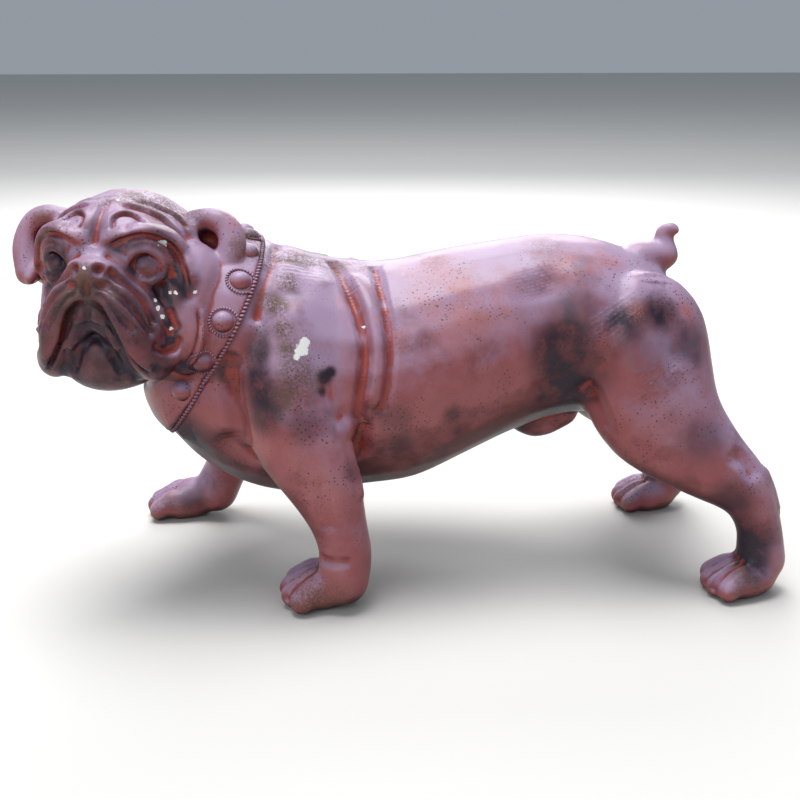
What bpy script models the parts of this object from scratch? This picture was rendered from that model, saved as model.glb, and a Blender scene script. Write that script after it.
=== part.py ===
"""A life-size standing bulldog for the garden, cast in one piece with its studded collar."""
import math

import bmesh
import bpy
import numpy as np
from mathutils import Matrix, Vector
from mathutils.bvhtree import BVHTree

# Driving sizes, in metres
BODY_LENGTH = 0.560
COLLAR_WIDTH = 0.037
COLLAR_RAISE = 0.005
ROPE_RADIUS = 0.0042
STUD_RADIUS = 0.0115

# The figure is drawn in thousandths of a metre on a dog whose body is this long
DRAWN_LENGTH = 560.0
UNIT = BODY_LENGTH / DRAWN_LENGTH

# How finely the skin is worked, in drawn units, and how many triangles are left at the end
BODY_GRAIN = 3.6
HEAD_GRAIN = 2.8
TRIANGLES = 9400
SOLE_HEIGHT = 1.5

# A stroke of the modelling tool: steps between its keys, how much of it is left at its ends, and where in
# its reach a fold stands highest and a crease ends
STROKE_STEPS = 10
STROKE_END = 0.15
FOLD_TOP = 0.28
CREASE_WIDTH = 0.16

# The trunk and neck along their middle line: x, y, z and the half sizes along x, y and z
TRUNK = [
    (-222, -2, 218, 48, 84, 66),
    (-178, 0, 206, 60, 108, 100),
    (-120, 0, 213, 68, 126, 128),
    (-50, 0, 212, 68, 124, 120),
    (0, 0, 216, 68, 118, 118),
    (50, 0, 232, 66, 108, 112),
    (100, 0, 248, 62, 102, 104),
    (150, 0, 260, 58, 99, 98),
    (200, 0, 260, 58, 99, 93),
    (250, 0, 243, 50, 92, 90),
]
NECK = [
    (-120, 0, 252, 70, 104, 95), (-172, -4, 270, 50, 110, 92), (-215, -6, 280, 46, 94, 88),
    (-250, -16, 290, 40, 82, 80),
]
SHEATH = [(118, 0, 168, 16, 15, 16), (146, 0, 153, 20, 18, 19), (176, 0, 164, 18, 17, 18)]

# Each leg from the body down to the paw, in the same columns
LEGS = {
    "front_near": [
        (-124, -78, 225, 62, 48, 86),
        (-108, -112, 178, 46, 36, 56),
        (-84, -126, 130, 35, 30, 42),
        (-72, -130, 92, 28, 26, 30),
        (-66, -131, 60, 27, 26, 24),
        (-70, -128, 30, 28, 29, 26),
    ],
    "front_far": [
        (-131, 78, 225, 62, 48, 86),
        (-158, 106, 172, 44, 34, 52),
        (-180, 118, 115, 32, 28, 36),
        (-198, 122, 70, 26, 26, 26),
        (-216, 124, 32, 27, 28, 26),
    ],
    "rear_near": [
        (242, -60, 240, 72, 48, 90),
        (261, -84, 183, 62, 40, 61),
        (303, -101, 143, 44, 30, 43),
        (343, -113, 113, 28, 24, 32),
        (361, -118, 75, 23, 22, 26),
        (366, -120, 36, 26, 24, 26),
    ],
    "rear_far": [
        (238, 60, 240, 72, 48, 90),
        (246, 84, 184, 62, 40, 60),
        (276, 100, 144, 44, 30, 43),
        (314, 110, 113, 29, 24, 32),
        (328, 113, 75, 23, 22, 26),
        (332, 114, 36, 25, 24, 26),
    ],
}

# Each paw: the middle of its pad, the way it points in degrees, and its size beside the near front one
PAWS = {
    "front_near": (-88, -116, 186, 1.0),
    "front_far": (-255, 130, 172, 0.94),
    "rear_near": (345, -124, 184, 0.9),
    "rear_far": (308, 114, 176, 0.9),
}
TOES = 4

# The tail winds up like a corkscrew: x, y, z and thickness
TAIL = [
    (252, 0, 328, 22),
    (268, -2, 332, 17),
    (281, -5, 334, 12),
    (279, 2, 347, 10),
    (277, 5, 357, 9),
    (285, 1, 363, 7),
    (290, -3, 360, 5),
]

# The head sits here, turned towards its own left and a little raised
HEAD_AT = (-283, -46, 310)
HEAD_TURN = math.radians(-102)
HEAD_LIFT = math.radians(12)

# Pieces of the head: forward, to its left, up, and the half sizes the same way
HEAD_MIDDLE = {
    "skull": [(-22, 0, 34, 70, 82, 73), (22, 0, 36, 54, 74, 58)],
    "muzzle": [(40, 0, 2, 40, 58, 46), (66, 0, 2, 27, 42, 36)],
    "nose": [(83, 0, 23, 14, 25, 12), (85, 0, 15, 12, 15, 12)],
    "jaw": [(0, 0, -46, 44, 60, 44), (38, 0, -62, 32, 50, 32), (44, 0, -54, 22, 36, 30)],
}
HEAD_SIDES = {
    "cheek": [(-16, 50, -4, 52, 44, 58), (14, 48, -30, 40, 35, 46)],
    "flew": [
        (78, 11, 3, 16, 16, 15), (77, 27, -6, 18, 17, 19), (69, 40, -27, 20, 17, 25),
        (61, 46, -48, 21, 18, 25), (48, 52, -60, 23, 19, 22),
    ],
    "roll from the nose": [
        (72, 4, 36, 7, 8, 7), (71, 20, 32, 8, 8, 8), (69, 33, 19, 8, 8, 9), (63, 46, 2, 8, 8, 10),
        (59, 58, -20, 8, 8, 10), (52, 67, -36, 7, 7, 8),
    ],
    "second roll": [
        (80, 15, 17, 7, 7, 7), (79, 28, 6, 7, 8, 8), (73, 40, -7, 8, 8, 9), (68, 51, -22, 7, 7, 9),
        (65, 58, -35, 6, 6, 6),
    ],
    "lower lip": [
        (73, 6, -27, 9, 12, 8), (68, 18, -38, 9, 9, 10), (60, 28, -56, 10, 9, 12),
        (50, 38, -70, 10, 9, 11),
    ],
    "chin fold": [(62, 0, -52, 9, 10, 9), (60, 14, -60, 8, 8, 9), (54, 26, -74, 9, 8, 10)],
    "brow": [
        (62, 13, 50, 15, 12, 11), (55, 40, 59, 17, 15, 11), (42, 61, 53, 14, 11, 12),
        (32, 72, 37, 10, 8, 13), (31, 76, 20, 7, 6, 10),
    ],
    "ear rim": [
        (-10, 70, 72, 12, 12, 14), (-8, 90, 76, 14, 15, 12), (-8, 105, 65, 15, 15, 15),
        (-2, 110, 44, 14, 16, 16), (7, 104, 18, 12, 14, 12),
    ],
    "ear front": [
        (4, 73, 66, 5, 5, 6), (6, 77, 50, 5, 5, 6), (13, 86, 30, 6, 5, 6), (17, 97, 12, 6, 6, 6),
    ],
    "ear back": [(-24, 76, 60, 10, 18, 26), (-22, 96, 48, 10, 16, 26), (-12, 92, 20, 14, 14, 13)],
}
LEFT_CHEEK = [(10, 71, 4, 44, 41, 52), (16, 73, -34, 42, 38, 43)]
JOWL = [
    (76, 40, -46, 7, 7, 7), (70, 52, -55, 9, 9, 9), (58, 64, -60, 9, 9, 9), (47, 72, -54, 8, 8, 9),
    (44, 77, -38, 7, 7, 8), (44, 76, -20, 6, 6, 8),
]
EYELIDS = {
    "upper lid": [
        (66, 29, 29, 3, 3, 3), (69, 36, 39, 4, 4, 4), (67, 47, 43, 4, 4, 4), (60, 57, 38, 4, 4, 4),
        (50, 63, 25, 3, 3, 3),
    ],
    "lower lid": [
        (66, 30, 26, 3, 3, 3), (67, 39, 15, 3.5, 3.5, 3.5), (63, 49, 12, 3.5, 3.5, 3.5),
        (57, 57, 16, 3.5, 3.5, 3.5), (50, 63, 24, 3, 3, 3),
    ],
    "fold over the lid": [
        (66, 26, 36, 3, 3, 3), (69, 35, 47, 4, 4, 4), (66, 48, 51, 4, 4, 4), (58, 60, 46, 4, 4, 4),
        (48, 67, 32, 3, 3, 3),
    ],
}
EYE = [(52, 45, 27, 15, 14, 13)]

# The side of the head that is turned away is a little narrower
FAR_SIDE = 0.92
FAR_SIDE_FROM = 40
FAR_JOWL = 0.86

# Strokes of the modelling tool: key points, reach, height, and how high one side of the line folds over it
SOCKET = {"socket": ([(63, 45, 27)], 25, -9, 0)}
FACE_SIDES = {
    "brow edge": ([
        (76, 14, 44), (73, 28, 52), (69, 46, 56), (60, 62, 52), (48, 72, 42), (41, 77, 24), (44, 82, 8),
    ], 16, -3, 4),
    "frown": ([(72, 17, 58), (60, 15, 70), (56, 25, 76), (56, 36, 74), (64, 46, 68)], 10, -4, 2),
    "frown hollow": ([(72, 24, 62), (70, 36, 66)], 11, -3.5, 0),
    "forehead fold": ([
        (47, 13, 85), (44, 33, 81), (37, 51, 74), (33, 63, 64), (28, 70, 52),
    ], 13, -3, 3),
    "second forehead fold": ([(30, 20, 94), (22, 38, 84), (10, 56, 76), (4, 70, 63)], 13, -2.5, 2.5),
    "ear hollow": ([(-4, 90, 52)], 16, -4, 0),
    "groove from the eye": ([(47, 67, 28), (44, 73, 16), (45, 81, 4), (47, 86, -8)], 10, -3, 0),
    "groove beside the nose roll": ([
        (60, 74, -40), (64, 66, -24), (64, 54, 0), (72, 40, 18), (79, 26, 32), (80, 10, 41),
    ], 7, -4, 0),
    "first muzzle groove": ([
        (90, 19, 24), (82, 31, 13), (76, 44, 1), (73, 55, -15), (72, 62, -28),
    ], 7, -5, 0),
    "second muzzle groove": ([
        (95, 14, 12), (91, 26, 3), (86, 40, -11), (80, 51, -25), (74, 59, -38),
    ], 7, -4.5, 0),
    "third muzzle groove": ([(96, 8, 2), (94, 21, -8), (90, 35, -22), (84, 46, -34)], 6, -3.5, 0),
    "jowl groove": ([(57, 66, -10), (55, 72, -24), (53, 76, -34)], 7, -4, 0),
    "jowl pocket": ([(75, 57, -45), (66, 66, -50), (56, 74, -47), (53, 78, -36)], 7, -4, 0),
    "mouth": ([
        (94, 1, -8), (93, 11, -11), (88, 21, -23), (81, 30, -42), (75, 41, -57), (66, 52, -72),
    ], 16, -8, 4),
    "cheek crease": ([(47, 92, -10), (48, 94, -26), (48, 91, -47), (42, 80, -66)], 10, -3, 2),
    "nostril": ([(98, 14.5, 23)], 8.5, -9, 0),
    "nose wing": ([(94, 24, 21), (96, 20, 12), (97, 8, 7)], 5, -3, 0),
    "chin groove": ([(76, 12, -48), (72, 20, -62), (66, 26, -76)], 8, -3, 0),
    "lip edge": ([(88, 0, -19), (84, 12, -24), (78, 20, -36), (72, 26, -54)], 9, 5, 0),
}
FACE_MIDDLE = {
    "forehead line": ([(76, 0, 44), (72, 0, 58), (58, 0, 78), (36, 0, 94)], 7, -5, 0),
    "lip line": ([(97, 0, 14), (97, 0, 4), (95, 0, -4)], 5, -3, 0),
}
BODY_SIDES = {
    "shoulder blade": ([
        (-116, -40, 336), (-108, -96, 300), (-110, -122, 255), (-120, -132, 214),
    ], 42, 7, 0),
    "front of the upper arm": ([
        (-172, -112, 270), (-176, -112, 232), (-168, -112, 196), (-160, -108, 168),
    ], 18, -7, 0),
    "roll behind the shoulder": ([
        (-58, -40, 326), (-41, -68, 308), (-33, -101, 280), (-32, -114, 248), (-38, -122, 208),
    ], 17, 6, 0),
    "crease before the roll": ([
        (-74, -12, 334), (-56, -68, 311), (-45, -99, 283), (-43, -113, 256), (-50, -123, 214),
        (-52, -124, 190),
    ], 11, -6, 0),
    "crease after the roll": ([
        (-30, -15, 330), (-24, -74, 306), (-20, -105, 273), (-22, -118, 237), (-30, -121, 200),
    ], 10, -5, 0),
    "hollow behind the elbow": ([(-48, -121, 200), (-50, -114, 168), (-52, -120, 146)], 16, -8, 0),
    "fold behind the collar": ([
        (-128, 0, 352), (-134, -61, 336), (-142, -87, 316), (-150, -104, 290),
    ], 10, -4, 0),
    "elbow": ([(-60, -124, 188)], 20, 6, 0),
    "tendon of the fore leg": ([(-58, -126, 180), (-54, -132, 150), (-50, -138, 118)], 10, 3, 0),
    "hollow of the fore leg": ([(-92, -138, 150), (-84, -142, 118), (-78, -144, 92)], 12, -2.5, 0),
    "wrist": ([(-92, -138, 60), (-78, -152, 60), (-60, -150, 62)], 9, -3.5, 0),
    "loin": ([
        (126, -60, 334), (136, -88, 304), (143, -98, 268), (150, -86, 226), (165, -78, 196),
    ], 40, -9, 0),
    "haunch": ([(196, -90, 300), (226, -106, 256), (252, -112, 214)], 46, 7, 0),
    "front of the thigh": ([(170, -90, 222), (190, -94, 190), (208, -92, 166)], 20, -6, 0),
    "crease of the rump": ([(246, -60, 310), (262, -92, 272), (268, -106, 236)], 26, -4, 0),
    "hollow of the hock": ([(322, -130, 160), (338, -130, 146), (348, -130, 124)], 15, -5, 0),
    "tendon of the hock": ([(364, -112, 140), (376, -116, 112), (384, -118, 84)], 12, 3, 0),
    "side of the chest": ([(-190, -98, 182), (-166, -104, 160), (-146, -108, 146)], 20, -6, 0),
    "breast": ([(-222, -40, 196), (-206, -72, 184)], 34, 6, 0),
    "ribs": ([(-6, -112, 250), (60, -110, 244), (100, -100, 240)], 60, 3, 0),
}

# The collar lies on a leaning ring: the middle of its rear edge and the way that the neck runs there
COLLAR_AT = (-189, -11, 277)
COLLAR_AXIS = (-0.864, -0.129, 0.487)
STUDS = 14
FIRST_STUD = 0.3
STUDS_FROM_EDGE = 0.013
STUD_SUNK = 0.25
BAND_EDGE = 2.5
NECK_REACH = 160
ROPE_STEPS = 36

COAT = (0.20, 0.105, 0.095, 1)
COAT_ROUGHNESS = 0.42


def ball_points():
    """Points all over a ball of radius one."""
    ball = bmesh.new()
    bmesh.ops.create_icosphere(ball, subdivisions=3, radius=1.0)
    points = np.array([v.co for v in ball.verts])
    ball.free()
    return points


def add_hull(clay, points):
    """Adds the smallest closed shell that holds the points."""
    piece = bmesh.new()
    for point in points:
        piece.verts.new(point)
    found = bmesh.ops.convex_hull(piece, input=piece.verts)
    inside = {v for v in found["geom_interior"] + found["geom_unused"] if isinstance(v, bmesh.types.BMVert)}
    bmesh.ops.delete(piece, geom=list(inside), context="VERTS")
    shell = bpy.data.meshes.new("shell")
    piece.to_mesh(shell)
    piece.free()
    clay.from_mesh(shell)
    bpy.data.meshes.remove(shell)


def curve_through(keys, steps):
    """Points on the smooth curve through the keys, each column in its turn."""
    keys = np.array(keys, float)
    before = 2 * keys[0] - keys[1]
    after = 2 * keys[-1] - keys[-2]
    run = np.vstack([before, keys, after])
    found = []
    for a, b, c, d in zip(run, run[1:], run[2:], run[3:]):
        for t in np.arange(steps) / steps:
            bend = (2 * a - 5 * b + 4 * c - d) * t**2 + (3 * b - a - 3 * c + d) * t**3
            found.append(0.5 * (2 * b + (c - a) * t + bend))
    return np.array(found + [keys[-1]])


def add_string(clay, beads, ball):
    """Adds a limb: a string of swelling beads, each wrapped together with the next."""
    if len(beads) > 2:
        beads = curve_through(beads, 4)
    shells = [np.array(bead[:3]) + ball * np.array(bead[3:6]) for bead in beads]
    if len(shells) == 1:
        add_hull(clay, shells[0])
    for one, two in zip(shells, shells[1:]):
        add_hull(clay, np.vstack([one, two]))


def mirrored(keys):
    """The same keys on the other side of the dog."""
    return [(key[0], -key[1]) + tuple(key[2:]) for key in keys]


def settle(obj):
    """Makes what the modifiers give the object's own mesh."""
    graph = bpy.context.evaluated_depsgraph_get()
    made = bpy.data.meshes.new_from_object(obj.evaluated_get(graph))
    old = obj.data
    obj.modifiers.clear()
    obj.data = made
    bpy.data.meshes.remove(old)


def fused(name, clay, grain, rounds):
    """One object whose skin runs over all the shells of the clay, smoothed by hand."""
    mesh = bpy.data.meshes.new(name)
    clay.to_mesh(mesh)
    clay.free()
    obj = bpy.data.objects.new(name, mesh)
    bpy.context.scene.collection.objects.link(obj)
    remesh = obj.modifiers.new("Remesh", "REMESH")
    remesh.mode = "VOXEL"
    remesh.voxel_size = grain
    smooth = obj.modifiers.new("Smooth", "SMOOTH")
    smooth.iterations = rounds
    smooth.factor = 0.5
    settle(obj)
    return obj


def points_of(obj):
    flat = np.empty(len(obj.data.vertices) * 3, np.float32)
    obj.data.vertices.foreach_get("co", flat)
    return flat.reshape(-1, 3).astype(float)


def outward_of(obj):
    flat = np.empty(len(obj.data.vertices) * 3, np.float32)
    obj.data.vertex_normals.foreach_get("vector", flat)
    return flat.reshape(-1, 3).astype(float)


def move_to(obj, points):
    obj.data.vertices.foreach_set("co", points.astype(np.float32).ravel())
    obj.data.update()


def surface_of(obj):
    shape = bmesh.new()
    shape.from_mesh(obj.data)
    tree = BVHTree.FromBMesh(shape)
    shape.free()
    return tree


def ease(t):
    """Nought to one with soft ends."""
    t = np.clip(t, 0, 1)
    return t * t * (3 - 2 * t)


def carve(obj, strokes):
    """Raises or sinks the skin along each stroke.

    The height is largest on the line and fades out at the reach. A fold stands up on the left of the line
    as it runs, steep at the line and gentle away from it, and there the height only marks the crease.
    """
    tree = surface_of(obj)
    for keys, reach, height, fold in strokes.values():
        points, outward = points_of(obj), outward_of(obj)
        line = curve_through(keys, STROKE_STEPS) if len(keys) > 1 else keys
        found = [tree.find_nearest(Vector(key)) for key in line]
        path = np.array([hit[0] for hit in found])
        out = np.array([hit[1] for hit in found])
        within = (points > path.min(axis=0) - reach) & (points < path.max(axis=0) + reach)
        near = np.flatnonzero(within.all(axis=1))
        gap = points[near][:, None, :] - path[None]
        far = np.linalg.norm(gap, axis=2)
        best = far.argmin(axis=1)
        away = far.min(axis=1) / reach
        taper = np.ones(len(near))
        across = np.zeros(len(near))
        if len(path) > 1:
            along = np.gradient(path, axis=0)
            along /= np.linalg.norm(along, axis=1)[:, None]
            steps = np.linalg.norm(np.diff(path, axis=0), axis=1)
            run = np.concatenate([[0], np.cumsum(steps)])[best]
            taper = ease(np.minimum(run, steps.sum() - run) / reach + STROKE_END)
            side = np.cross(out, along)[best]
            across = np.einsum("ij,ij->i", gap[np.arange(len(near)), best], side) / reach
        if fold:
            shift = fold * ease(across / FOLD_TOP) * (1 - ease((across - FOLD_TOP) / (1 - FOLD_TOP)))
            shift += height * np.exp(-((away / CREASE_WIDTH) ** 2))
        else:
            shift = height * (1 - np.clip(away, 0, 1) ** 2) ** 2
        facing = ease(np.einsum("ij,ij->i", outward[near], out[best]) + 0.5)
        shift *= taper * facing * (away < 1)
        points[near] += 0.5 * (out[best] + outward[near]) * shift[:, None]
        move_to(obj, points)


def on_both_sides(strokes):
    """The strokes and their mirror images, run the other way so that a fold stands up on the same side."""
    other = {}
    for name, (keys, *rest) in strokes.items():
        other[name + ", other side"] = (mirrored(keys)[::-1], *rest)
    return {**strokes, **other}


def head_place():
    """Where the head is: its own forward, left and up, and its middle."""
    forward = Vector((math.cos(HEAD_TURN), math.sin(HEAD_TURN), 0))
    left = Vector((0, 0, 1)).cross(forward)
    forward = Matrix.Rotation(-HEAD_LIFT, 3, left) @ forward
    place = Matrix((forward, left, forward.cross(left))).transposed().to_4x4()
    place.translation = Vector(HEAD_AT)
    return place


def far_side(y):
    """Draws in what lies on the side of the head that is turned away."""
    return y * (1 - (1 - FAR_SIDE) * ease(-y / FAR_SIDE_FROM))


def on_the_head(strokes):
    """Strokes drawn in the head's own directions, put where the head is."""
    place = head_place()
    placed = {}
    for name, (keys, *rest) in strokes.items():
        placed[name] = ([tuple(place @ Vector((x, far_side(y), z))) for x, y, z in keys], *rest)
    return placed


def make_head(ball):
    clay = bmesh.new()
    for beads in HEAD_MIDDLE.values():
        add_string(clay, beads, ball)
    for beads in HEAD_SIDES.values():
        add_string(clay, beads, ball)
        add_string(clay, mirrored(beads), ball)
    add_string(clay, LEFT_CHEEK, ball)
    add_string(clay, JOWL, ball)
    add_string(clay, [(x, -y * FAR_JOWL, z, *size) for x, y, z, *size in JOWL], ball)
    head = fused("head", clay, HEAD_GRAIN, 5)
    carve(head, on_both_sides(SOCKET))
    clay = bmesh.new()
    clay.from_mesh(head.data)
    for beads in (EYE, *EYELIDS.values()):
        add_string(clay, beads, ball)
        add_string(clay, mirrored(beads), ball)
    clay.to_mesh(head.data)
    clay.free()
    points = points_of(head)
    points[:, 1] = far_side(points[:, 1])
    move_to(head, points)
    head.data.transform(head_place())
    return head


def add_paw(clay, x, y, turn, size, ball):
    """A round pad with a heel behind it and toes spread along its front."""
    turn = math.radians(turn)
    ahead = Vector((math.cos(turn), math.sin(turn), 0))
    aside = Vector((-ahead.y, ahead.x, 0))
    middle = Vector((x, y, 0))
    heel = middle - ahead * 14 * size + Vector((0, 0, 24 * size))
    pad = middle + ahead * 4 * size + Vector((0, 0, 20 * size))
    sole = [(*heel, 28 * size, 30 * size, 26 * size), (*pad, 30 * size, 36 * size, 24 * size)]
    add_string(clay, sole, ball)
    for i in range(TOES):
        spread = 2 * i / (TOES - 1) - 1
        radius = (13.5 - abs(spread)) * size
        root = middle + ahead * 8 * size + aside * spread * 22 * size
        tip = middle + ahead * (34 - 8 * spread**2) * size + aside * spread * 28 * size
        root.z = 28 * size
        tip.z = 15 * size
        add_string(clay, [(*root, radius, radius, radius), (*tip, radius, radius, 1.1 * radius)], ball)


def add_collar(body, ball):
    """Raises the band round the neck and lays its rope edge and its domed studs on it."""
    axis = Vector(COLLAR_AXIS).normalized()
    middle = Vector(COLLAR_AT)
    across = Vector((0, 0, 1)).cross(axis).normalized()
    upward = axis.cross(across)
    width = COLLAR_WIDTH / UNIT
    points = points_of(body)
    along = (points - np.array(middle)) @ np.array(axis)
    near = np.linalg.norm(points - np.array(middle), axis=1) < NECK_REACH
    band = ease(along / BAND_EDGE) * ease((width - along) / BAND_EDGE) * near
    move_to(body, points + outward_of(body) * (COLLAR_RAISE / UNIT * band)[:, None])
    tree = surface_of(body)

    def on_neck(turns, forward):
        angle = 2 * math.pi * turns
        outward = across * math.cos(angle) + upward * math.sin(angle)
        return tree.ray_cast(middle + axis * forward + outward * NECK_REACH, -outward)[0], outward

    clay = bmesh.new()
    clay.from_mesh(body.data)
    rope = ROPE_RADIUS / UNIT
    ring = [(*on_neck(i / ROPE_STEPS, 0)[0], rope, rope, rope) for i in range(ROPE_STEPS)]
    add_string(clay, ring + ring[:1], ball)
    stud = STUD_RADIUS / UNIT
    for i in range(STUDS):
        place, outward = on_neck((i + FIRST_STUD) / STUDS, STUDS_FROM_EDGE / UNIT)
        if outward.z > -0.8:
            add_string(clay, [(*(place - outward * STUD_SUNK * stud), stud, stud, stud)], ball)
    clay.to_mesh(body.data)
    clay.free()


def make_body(ball):
    clay = bmesh.new()
    for beads in (TRUNK, NECK, SHEATH, *LEGS.values()):
        add_string(clay, beads, ball)
    for x, y, turn, size in PAWS.values():
        add_paw(clay, x, y, turn, size, ball)
    add_string(clay, [(x, y, z, radius, radius, radius) for x, y, z, radius in TAIL], ball)
    body = fused("body", clay, BODY_GRAIN, 16)
    add_collar(body, ball)
    return body


def thin_out(dog):
    """Leaves fewer and larger faces where the skin is plain."""
    thin = dog.modifiers.new("Decimate", "DECIMATE")
    thin.ratio = min(1.0, TRIANGLES / (2 * len(dog.data.polygons)))
    thin.use_collapse_triangulate = True
    settle(dog)


def level_feet(dog):
    """Cuts the pads of the paws off flat, to stand on."""
    shape = bmesh.new()
    shape.from_mesh(dog.data)
    whole = shape.verts[:] + shape.edges[:] + shape.faces[:]
    level = Vector((0, 0, SOLE_HEIGHT))
    cut = bmesh.ops.bisect_plane(shape, geom=whole, plane_co=level, plane_no=(0, 0, 1), clear_inner=True)
    rim = [edge for edge in cut["geom_cut"] if isinstance(edge, bmesh.types.BMEdge)]
    bmesh.ops.holes_fill(shape, edges=rim)
    bmesh.ops.triangulate(shape, faces=shape.faces)
    shape.to_mesh(dog.data)
    shape.free()


def centre(dog):
    """Puts the middle of the dog over the origin, with its soles at height nought."""
    points = points_of(dog)
    low, high = points.min(axis=0), points.max(axis=0)
    move_to(dog, points - [(low[0] + high[0]) / 2, (low[1] + high[1]) / 2, low[2]])


def paint(dog):
    coat = bpy.data.materials.new("weathered_coat")
    coat.use_nodes = True
    shader = coat.node_tree.nodes["Principled BSDF"]
    shader.inputs["Base Color"].default_value = COAT
    shader.inputs["Roughness"].default_value = COAT_ROUGHNESS
    dog.data.materials.append(coat)
    dog.data.shade_smooth()


def main():
    for old in list(bpy.data.objects):
        bpy.data.objects.remove(old)
    ball = ball_points()
    head = make_head(ball)
    body = make_body(ball)
    clay = bmesh.new()
    clay.from_mesh(body.data)
    clay.from_mesh(head.data)
    bpy.data.objects.remove(body)
    bpy.data.objects.remove(head)
    dog = fused("bulldog", clay, HEAD_GRAIN, 2)
    carve(dog, on_both_sides(BODY_SIDES))
    carve(dog, on_the_head({**on_both_sides(FACE_SIDES), **FACE_MIDDLE}))
    thin_out(dog)
    level_feet(dog)
    dog.data.transform(Matrix.Scale(UNIT, 4))
    centre(dog)
    paint(dog)


if __name__ == "__main__":
    main()
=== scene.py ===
# A life-size garden bulldog, cast in one piece with its studded collar, under worn red-brown paint
import math
import bpy
import numpy as np
from mathutils import Matrix, Vector
from mathutils.bvhtree import BVHTree


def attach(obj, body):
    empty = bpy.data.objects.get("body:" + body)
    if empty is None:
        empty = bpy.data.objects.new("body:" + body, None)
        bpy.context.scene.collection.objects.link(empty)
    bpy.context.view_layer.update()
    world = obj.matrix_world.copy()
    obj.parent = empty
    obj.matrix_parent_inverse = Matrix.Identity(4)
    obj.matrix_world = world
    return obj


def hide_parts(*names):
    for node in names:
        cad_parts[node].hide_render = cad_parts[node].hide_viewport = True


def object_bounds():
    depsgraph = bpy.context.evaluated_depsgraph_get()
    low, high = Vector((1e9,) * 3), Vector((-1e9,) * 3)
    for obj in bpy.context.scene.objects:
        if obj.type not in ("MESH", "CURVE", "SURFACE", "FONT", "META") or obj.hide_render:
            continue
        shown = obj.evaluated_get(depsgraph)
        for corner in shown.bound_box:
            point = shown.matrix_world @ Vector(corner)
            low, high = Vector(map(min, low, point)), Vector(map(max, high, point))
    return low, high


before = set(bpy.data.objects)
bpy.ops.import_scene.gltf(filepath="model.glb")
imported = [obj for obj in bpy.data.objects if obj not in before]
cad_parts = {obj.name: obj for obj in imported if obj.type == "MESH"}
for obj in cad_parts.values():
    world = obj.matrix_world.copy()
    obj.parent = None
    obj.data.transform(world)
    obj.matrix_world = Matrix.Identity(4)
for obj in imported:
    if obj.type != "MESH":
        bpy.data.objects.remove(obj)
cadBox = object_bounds()
scene = bpy.context.scene
print("frame loaded")


def deselectAll():
    for obj in bpy.context.selected_objects:
        obj.select_set(False)


def makeActive(obj):
    deselectAll()
    obj.select_set(True)
    bpy.context.view_layer.objects.active = obj


def joinAll(name, pieces):
    deselectAll()
    for piece in pieces:
        piece.select_set(True)
    bpy.context.view_layer.objects.active = pieces[0]
    if len(pieces) > 1:
        bpy.ops.object.join()
    bpy.ops.object.transform_apply(location=True, rotation=True, scale=True)
    pieces[0].name = name
    pieces[0].data.name = name
    return pieces[0]


def applyModifier(obj, kind, **settings):
    makeActive(obj)
    modifier = obj.modifiers.new(kind.title(), kind)
    for key, value in settings.items():
        setattr(modifier, key, value)
    bpy.ops.object.modifier_apply(modifier=modifier.name)


def getPoints(obj):
    flat = np.empty(len(obj.data.vertices) * 3, np.float32)
    obj.data.vertices.foreach_get("co", flat)
    return flat.reshape(-1, 3).astype(float)


def getNormals(obj):
    flat = np.empty(len(obj.data.vertices) * 3, np.float32)
    obj.data.vertex_normals.foreach_get("vector", flat)
    return flat.reshape(-1, 3).astype(float)


def setPoints(obj, points):
    obj.data.vertices.foreach_set("co", points.astype(np.float32).ravel())
    obj.data.update()


def smoothCurve(keys, steps):  # points on the curve through the keys, column by column
    keys = np.array(keys, float)
    run = np.vstack([2 * keys[0] - keys[1], keys, 2 * keys[-1] - keys[-2]])
    found = []
    for a, b, c, d in zip(run, run[1:], run[2:], run[3:]):
        for t in np.arange(steps) / steps:
            bend = (2 * a - 5 * b + 4 * c - d) * t**2 + (3 * b - a - 3 * c + d) * t**3
            found.append(0.5 * (2 * b + (c - a) * t + bend))
    return np.array(found + [keys[-1]])


def mirrorKeys(keys):
    return [(key[0], -key[1]) + tuple(key[2:]) for key in keys]


def easeIn(t):
    t = np.clip(t, 0, 1)
    return t * t * (3 - 2 * t)


# The clay stage is drawn in millimetres, then scaled and moved onto the casting
def addBead(bead):
    deselectAll()
    bpy.ops.mesh.primitive_ico_sphere_add(subdivisions=3, radius=1, location=bead[:3], scale=bead[3:6])
    return bpy.context.object


def addLimb(beads):  # each bead is wrapped together with the next one
    if len(beads) > 2:
        beads = smoothCurve(beads, 3)
    if len(beads) == 1:
        return [joinAll("limb", [addBead(beads[0])])]
    limbs = []
    for one, two in zip(beads, beads[1:]):
        limb = joinAll("limb", [addBead(one), addBead(two)])
        bpy.ops.object.mode_set(mode="EDIT")
        bpy.ops.mesh.select_all(action="SELECT")
        bpy.ops.mesh.convex_hull()
        bpy.ops.object.mode_set(mode="OBJECT")
        limbs.append(limb)
    return limbs


def fuse(obj, grain, rounds):
    applyModifier(obj, "REMESH", mode="VOXEL", voxel_size=grain)
    applyModifier(obj, "SMOOTH", iterations=rounds, factor=0.5)


# A stroke is: keys, reach, height, and how high the skin folds over on its left
carving = {
    "steps": 12,  # on the curve between two keys
    "end": 0.15,  # how much of the height is left at a stroke's ends
    "foldTop": 0.28,  # where the fold is highest, as a share of the reach
    "creaseWidth": 0.16,
    "least": 1e-9,  # keeps points that fall together apart in the sums
}


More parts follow.
